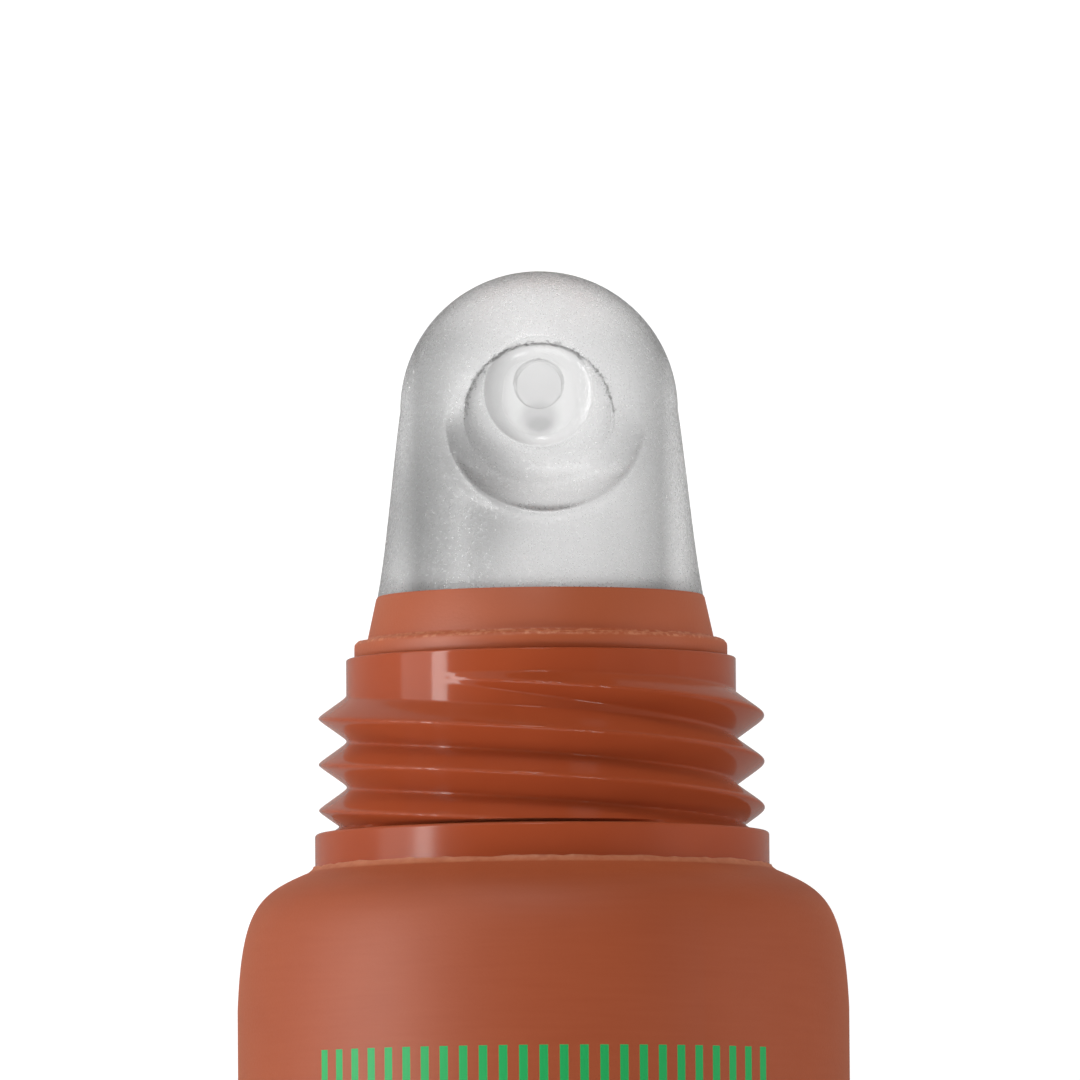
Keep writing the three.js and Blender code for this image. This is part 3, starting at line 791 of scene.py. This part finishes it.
tip_outline = [(0, ROOT_FLOOR), (ROOT_R, ROOT_FLOOR), (ROOT_R, FOOT)]
tip_outline += curve([(TIP_BASE_R - 0.03, FOOT)] + FLANK_STEER + [(DOME_R, EQUATOR)], 44)
tip_outline += arc((0, EQUATOR), DOME_R, 0, 89.3, 44)[1:] + [(0, TIP_TOP)]
tip = spin_outline("tip", tip_outline, 160)
print("plain tip", len(tip.data.polygons), "faces")

# %% Hollow of the tip
SCOOP_MIDDLE = 13.8
SCOOP_ASIDE = 0.2
SCOOP_WIDE = 3.15
SCOOP_TALL = 3.05
SCOOP_FADE = (11.6, 15.2)  # heights between which the scoop runs out
SCOOP_DEPTH = 1.1
RIM_HEIGHT = 0.11
DISH_DEPTH = 0.26
DISH_FALL = 2.1  # reach of the dish's soft lower side
FUNNEL_DEPTH = 0.62
OUTLET_MIDDLE = 14.84
OUTLET_R = 0.75
OUTLET_DEPTH = 0.9


def ease(value, low, high):
    """A soft step from 0 to 1 while a value goes from low to high."""
    t = min(max((value - low) / (high - low), 0.0), 1.0)
    return t * t * (3 - 2 * t)


def hollow(x, height):
    """Depth of the hollowed face under a point of the plain dome, in millimetres."""
    below = height - SCOOP_MIDDLE
    reach = math.hypot((x - SCOOP_ASIDE) / SCOOP_WIDE, below / SCOOP_TALL)
    lower = 1 - ease(height, *SCOOP_FADE)
    depth = SCOOP_DEPTH * lower * max(0.0, 1 - reach ** 2.8) ** 1.2
    depth -= RIM_HEIGHT * lower ** 2 * math.exp(-((reach - 1.02) / 0.07) ** 2)
    up = height - DISH_MIDDLE
    upper = ease(up, -1.4, 0.6)
    dish = math.hypot(x / DISH_R, up / (DISH_R if up > 0 else DISH_FALL))
    depth += DISH_DEPTH * max(0.0, 1 - dish ** (3 + 9 * upper)) ** (1.4 - 0.8 * upper)
    funnel = math.hypot(x, height - FUNNEL_MIDDLE) / FUNNEL_R
    depth += FUNNEL_DEPTH * max(0.0, 1 - funnel ** 2.6) ** 0.9
    outlet = math.hypot(x, height - OUTLET_MIDDLE)
    depth += OUTLET_DEPTH * (1 - ease(outlet, OUTLET_R - 0.05, OUTLET_R + 0.03))
    return depth


print("hollow at the outlet", round(hollow(0, OUTLET_MIDDLE), 2), "mm deep")

# %% Faces of the hollow
FACE_UP = 1.8  # the face lies higher than this, in millimetres over the axis
FACE_LOW, FACE_HIGH = 10.2, 16.7
FACE_WIDE = 4.1
EDGE_REACH = 0.25  # fine faces on both sides of the outlet's edge
CARVED_UP = 1.5  # only points of the outside of the face are pushed down


def on_face(point):
    """Whether a point of the plain tip lies where the hollow is."""
    along = FACE_LOW < height_of(point.y) < FACE_HIGH
    return point.z > AXIS_Z + FACE_UP * MM and along and abs(point.x) < FACE_WIDE * MM


def near_outlet(point):
    """Whether a point of the plain tip lies in the funnel, close to the outlet's edge."""
    off = math.hypot(point.x / MM, height_of(point.y) - OUTLET_MIDDLE)
    return point.z > AXIS_Z + FACE_UP * MM and OUTLET_R - EDGE_REACH < off < OUTLET_R + EDGE_REACH


# %% Carving the tip
bpy.ops.object.mode_set(mode="EDIT")
bpy.ops.mesh.select_all(action="DESELECT")
bpy.ops.object.mode_set(mode="OBJECT")
for face in tip.data.polygons:
    face.select = on_face(face.center)
bpy.ops.object.mode_set(mode="EDIT")
bpy.ops.mesh.select_mode(type="FACE")
bpy.ops.mesh.subdivide(number_cuts=3, smoothness=0.0)
bpy.ops.mesh.select_all(action="DESELECT")
bpy.ops.object.mode_set(mode="OBJECT")
for face in tip.data.polygons:
    face.select = near_outlet(face.center)
bpy.ops.object.mode_set(mode="EDIT")
bpy.ops.mesh.subdivide(number_cuts=1, smoothness=0.0)
bpy.ops.object.mode_set(mode="OBJECT")
for vertex in tip.data.vertices:
    outside = math.hypot(vertex.co.x, vertex.co.z - AXIS_Z) > CARVED_UP * MM
    if vertex.co.z > AXIS_Z + CARVED_UP * MM and outside:
        vertex.co.z -= hollow(vertex.co.x / MM, height_of(vertex.co.y)) * MM
finish_piece(tip, "tube", "applicator_tip", silicone, 60)

# %% [markdown]
# ## Cap
# The cap is a cup as wide as the sleeve, with a liner inside that carries the thread, and a washer that
# seals on the collar. They could be made closed and then moved. They are made where they lie, in front of
# the tip, moved along the axis by whole turns of the thread, so the liner's thread is in step with the
# neck's.

# %% Cap cup
CAP_TURNS = 10
CAP_MOVE = CAP_TURNS * LEAD
shell_low, shell_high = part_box("cap_shell")
MOUTH = height_of(shell_low.y)
CAP_END = height_of(shell_high.y)
SHELL_BORE = 8.3
MOUTH_ROUND = 0.25
END_ROUND = 0.8
RECESS = 0.15  # depth of the flat in the end
CAVITY_TOP = TIP_TOP + 0.5 + CAP_MOVE
LINER_TOP = CAVITY_TOP + 0.9

shell_outline = [(0, LINER_TOP + 0.05), (SHELL_BORE - 0.3, LINER_TOP + 0.05)]
shell_outline += [(SHELL_BORE, LINER_TOP - 0.25), (SHELL_BORE, MOUTH + MOUTH_ROUND)]
shell_outline += arc((SHELL_BORE + MOUTH_ROUND, MOUTH + MOUTH_ROUND), MOUTH_ROUND, 180, 270, 5)
shell_outline += arc((SLEEVE_R - MOUTH_ROUND, MOUTH + MOUTH_ROUND), MOUTH_ROUND, 270, 360, 6)
shell_outline += arc((SLEEVE_R - END_ROUND, CAP_END - END_ROUND), END_ROUND, 0, 90, 10)
shell_outline += [(7.6, CAP_END), (7.4, CAP_END - 0.12)]
shell_outline += [(7.2, CAP_END - RECESS), (0, CAP_END - RECESS)]
shell = spin_outline("cap_cup", shell_outline, 160)
finish_piece(shell, "cap", "cap_shell", cap_satin, 35)

# %% [markdown]
# The liner is a glossy moulding that clicks into the cup. Its thread could be cut by subtracting the
# neck, but the two need a gap. So its bore is spun a little wider than the neck, and the same ridge is
# raised on it.

# %% Cap liner
LINER_FLOOR = 1.42 + CAP_MOVE
LINER_BORE = NECK_R + 0.35
LINER_R = 8.25
GROOVE_TOP = 8.38 + CAP_MOVE
CAVITY_R = 5.6
LIP_R = 6.15  # a low lip that keeps the washer in its groove
LIP_TOP = 7.14 + CAP_MOVE
CROWN_R = 6.5

liner_outline = [(0, CAVITY_TOP), (CAVITY_R - 0.5, CAVITY_TOP)]
liner_outline += arc((CAVITY_R - 0.5, CAVITY_TOP - 0.5), 0.5, 90, 0, 5)[1:]
liner_outline += [(CAVITY_R, GROOVE_TOP), (LINER_BORE, GROOVE_TOP), (LINER_BORE, LIP_TOP)]
liner_outline += [(LIP_R, LIP_TOP), (LIP_R, LIP_TOP - 0.3), (LINER_BORE - 0.001, LIP_TOP - 0.34)]
liner_outline += rows(LINER_FLOOR, THREAD_HIGH + CAP_MOVE, LINER_BORE, 0.08)[::-1]
liner_outline += [(LINER_R - 0.1, LINER_FLOOR), (LINER_R, LINER_FLOOR + 0.1), (LINER_R, GROOVE_TOP + 1)]
liner_outline += [(CROWN_R, GROOVE_TOP + 1), (CROWN_R, LINER_TOP), (0, LINER_TOP)]
liner = spin_outline("cap_thread_liner", liner_outline, 144)
raise_thread(liner, LINER_BORE, LINER_FLOOR, THREAD_HIGH + CAP_MOVE, CAP_MOVE)
finish_piece(liner, "cap", "cap_liner", liner_gloss, 40)

# %% [markdown]
# The washer is punched from a sheet of foam, so its edges are a little rounded and its hole follows the
# cone of the collar. A torus would be too round, so it is spun from its own small outline.

# %% Cap washer
washer_low, washer_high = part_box("cap_washer")
WASHER_LOW, WASHER_HIGH = height_of(washer_low.y), height_of(washer_high.y)
WASHER_R = washer_high.x / MM
WASHER_ROUND = 0.15
washer_outline = arc((WASHER_R - WASHER_ROUND, WASHER_LOW + WASHER_ROUND), WASHER_ROUND, -90, 0, 4)
washer_outline += arc((WASHER_R - WASHER_ROUND, WASHER_HIGH - WASHER_ROUND), WASHER_ROUND, 0, 90, 4)
washer_outline += [(5.42, WASHER_HIGH), (5.34, WASHER_HIGH - 0.1)]
washer_outline += [(5.54, WASHER_LOW + 0.1), (5.62, WASHER_LOW), washer_outline[0]]
washer = spin_outline("cap_seal_washer", washer_outline, 128)
finish_piece(washer, "cap_seal", "cap_washer", foam, 40)

# %% [markdown]
# ## Balm
# The balm fills the sleeve and is sealed in. It could be remade as the sleeve's inside, but nothing of it
# is seen, so the solid of the model stays and only gets its wax.

# %% Balm
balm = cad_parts["balm_fill"]
balm.data.materials.clear()
balm.data.materials.append(wax)
print(balm.name, "is", wax.name)

# %% [markdown]
# ## Table
# The tube lies on a white table that shows no edge. It could be lit until it is white, but then the tube
# would be too bright. So the table is grey paper with a soft shadow, and a glow that only the camera,
# gloss and the clear tip see makes it white. Under the tip's middle the glow is a little stronger,
# because the clear tip gathers light on the paper there, as a lens does.

# %% Table
TABLE_GAP = 0.02  # millimetres under the tube
SEEN_WHITE = 0.93
MIRRORED_WHITE = 0.22

bpy.ops.object.select_all(action="DESELECT")
bpy.ops.mesh.primitive_plane_add(size=3, location=(0, 0, -TABLE_GAP * MM))
table = bpy.context.object
table.name = "table"
board, tree = blank("white_table")
path = add(tree, "LightPath").outputs
beside = add(tree, "SeparateXYZ", {0: add(tree, "TexCoord").outputs["Object"]}).outputs["X"]
off_middle = add(tree, "Math", {0: beside, 1: PAINTED_LIGHT_MIDDLE * MM}, operation="SUBTRACT")
off = add(tree, "Math", {0: off_middle}, operation="ABSOLUTE")
near = add(tree, "MapRange", {0: off, 1: 0.6 * MM, 2: 5.2 * MM, 3: 1.03, 4: 0.93}, **SOFT)
glow = add(tree, "Math", {0: path["Is Transmission Ray"], 1: near}, operation="MULTIPLY")
for ray, white in (("Is Glossy Ray", MIRRORED_WHITE), ("Is Camera Ray", SEEN_WHITE)):
    glow = add(tree, "Math", {0: path[ray], 1: white, 2: glow}, operation="MULTIPLY_ADD")
shine = add(tree, "Emission", {"Color": screen("#ffffff"), "Strength": glow})
paper = add(tree, "BsdfPrincipled", {"Base Color": screen("#7c7c7c"), "Roughness": 0.8})
both = add(tree, "AddShader", {0: paper, 1: shine})
add(tree, "OutputMaterial", {"Surface": both})
table.data.materials.append(board)
table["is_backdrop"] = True
print(table.name, table.dimensions.x, "m wide")

# %% [markdown]
# ## Light
# A small studio has dim walls, paler low on the left, and softboxes. One bright sky could light it all,
# but then the gloss would have nothing to mirror. A narrow softbox on the left draws the bright line down
# the neck, and a wide dim card on the right the pale side. The two fills brighten the plastic without a
# line of their own, so gloss doesn't mirror them. Small lamps at the front and the tail give the tip its
# sparks, and one lights the lower lip of its hollow.

# %% Room
world = bpy.data.worlds.new("studio")
bpy.context.scene.world = world
world.use_nodes = True
sky = world.node_tree
sky.nodes.clear()
ray = add(sky, "SeparateXYZ", {0: add(sky, "TexCoord").outputs["Generated"]}).outputs
low = add(sky, "MapRange", {0: ray["Z"], 1: 0.35, 2: 0.9, 3: 1.0, 4: 0.0}, **SOFT)
left = add(sky, "MapRange", {0: ray["X"], 1: -0.8, 2: 0.2, 3: 1.0, 4: 0.03}, **SOFT)
level = add(sky, "Math", {0: low, 1: left, 2: 0.1}, operation="MULTIPLY_ADD")
passed = add(sky, "LightPath").outputs["Is Transmission Ray"]
through = add(sky, "Math", {0: passed, 1: 0.7}, operation="MULTIPLY")
seen = add(sky, "Math", {0: level, 1: through}, operation="MAXIMUM")
dim = add(sky, "Background", {"Color": screen("#ffffff"), "Strength": seen})
add(sky, "OutputWorld", {"Surface": dim})
print(world.name, len(sky.nodes), "nodes")

# %% Softboxes
LIT = place(0, 8)  # the middle of neck and tip


def softbox(name, direction, distance, width, length, power, mirrored=True):
    """A rectangular lamp that looks at the neck, its length along the tube, mirrored in gloss or not."""
    bpy.ops.object.light_add(type="AREA", location=LIT + direction.normalized() * distance)
    lamp = bpy.context.object
    lamp.name = name
    lamp.data.shape = "RECTANGLE"
    lamp.data.size = width
    lamp.data.size_y = length
    lamp.data.energy = power
    lamp.visible_glossy = mirrored
    back = direction.normalized()
    side = Vector((0, 1, 0)).cross(back).normalized()
    up = back.cross(side)
    turned = Matrix((side, up, back)).transposed().to_4x4()
    turned.translation = lamp.location
    lamp.matrix_world = turned
    print(name, power, "W")


def aside(degrees, towards_tip=0.0):
    """A direction leaning from straight up towards +X, and some way towards the tip."""
    lean = math.radians(degrees)
    return Vector((math.sin(lean), towards_tip, math.cos(lean)))


softbox("left_strip", aside(-62), 0.32, 0.056, 0.36, 0.58)
softbox("left_wide", aside(-84), 0.45, 0.30, 0.5, 0.62)
softbox("right_card", aside(70), 0.40, 0.60, 0.5, 0.14)
softbox("right_fill", aside(84), 0.45, 0.40, 0.5, 2.2, False)
softbox("front_fill", aside(-10, 1.3), 0.45, 0.30, 0.3, 0.4, False)
softbox("tip_light", aside(-4, 1.5), 0.40, 0.08, 0.07, 0.17)
softbox("lip_light", aside(25, -0.8), 0.40, 0.10, 0.10, 0.25)
softbox("tail_light", aside(-20, -1.3), 0.45, 0.3, 0.3, 0.5)

# %% [markdown]
# ## Camera
# The photograph looks down at the open tube from almost straight above, leaning a little to the tail, so
# the tip's end is seen less than its face. The camera could be moved until the picture fits. Here its
# place is worked out: the sleeve's width in the picture gives the scale, and the scale and the distance
# give the lens.

# %% Camera
MM_PER_PIXEL = 0.0311  # 19 mm of sleeve are 611 of the picture's 1080 pixels
PICTURE = 1080
SEAT_ROW = 868  # where the ring meets the shoulder
ELEVATION = math.radians(86.3)
ROLL = math.radians(0.42)
DISTANCE = 0.7  # metres
SENSOR = 36.0

aim = place(0, (SEAT_ROW - PICTURE / 2) * MM_PER_PIXEL)
away = Vector((0, -math.cos(ELEVATION), math.sin(ELEVATION)))
right = Vector((1, 0, 0))
up = away.cross(right)
right, up = right * math.cos(ROLL) - up * math.sin(ROLL), up * math.cos(ROLL) + right * math.sin(ROLL)
bpy.ops.object.camera_add(location=aim + away * DISTANCE)
camera = bpy.context.object
camera.name = "photo_camera"
stand = Matrix((right, up, away)).transposed().to_4x4()
stand.translation = aim + away * DISTANCE
camera.matrix_world = stand
camera.data.sensor_width = SENSOR
camera.data.lens = SENSOR * DISTANCE / (PICTURE * MM_PER_PIXEL * MM)
camera.data.clip_start = 0.01
bpy.context.scene.camera = camera
bpy.context.scene.view_settings.view_transform = "Standard"
print("lens", round(camera.data.lens, 1), "mm at", DISTANCE, "m")

# %% [markdown]
# ## Size
# How far the dressed model reaches could be judged by eye, but a box is certain, so the box of all that
# is shown is measured and printed.

# %% Size and finish
low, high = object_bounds()
print("scene reaches from", low, "to", high)
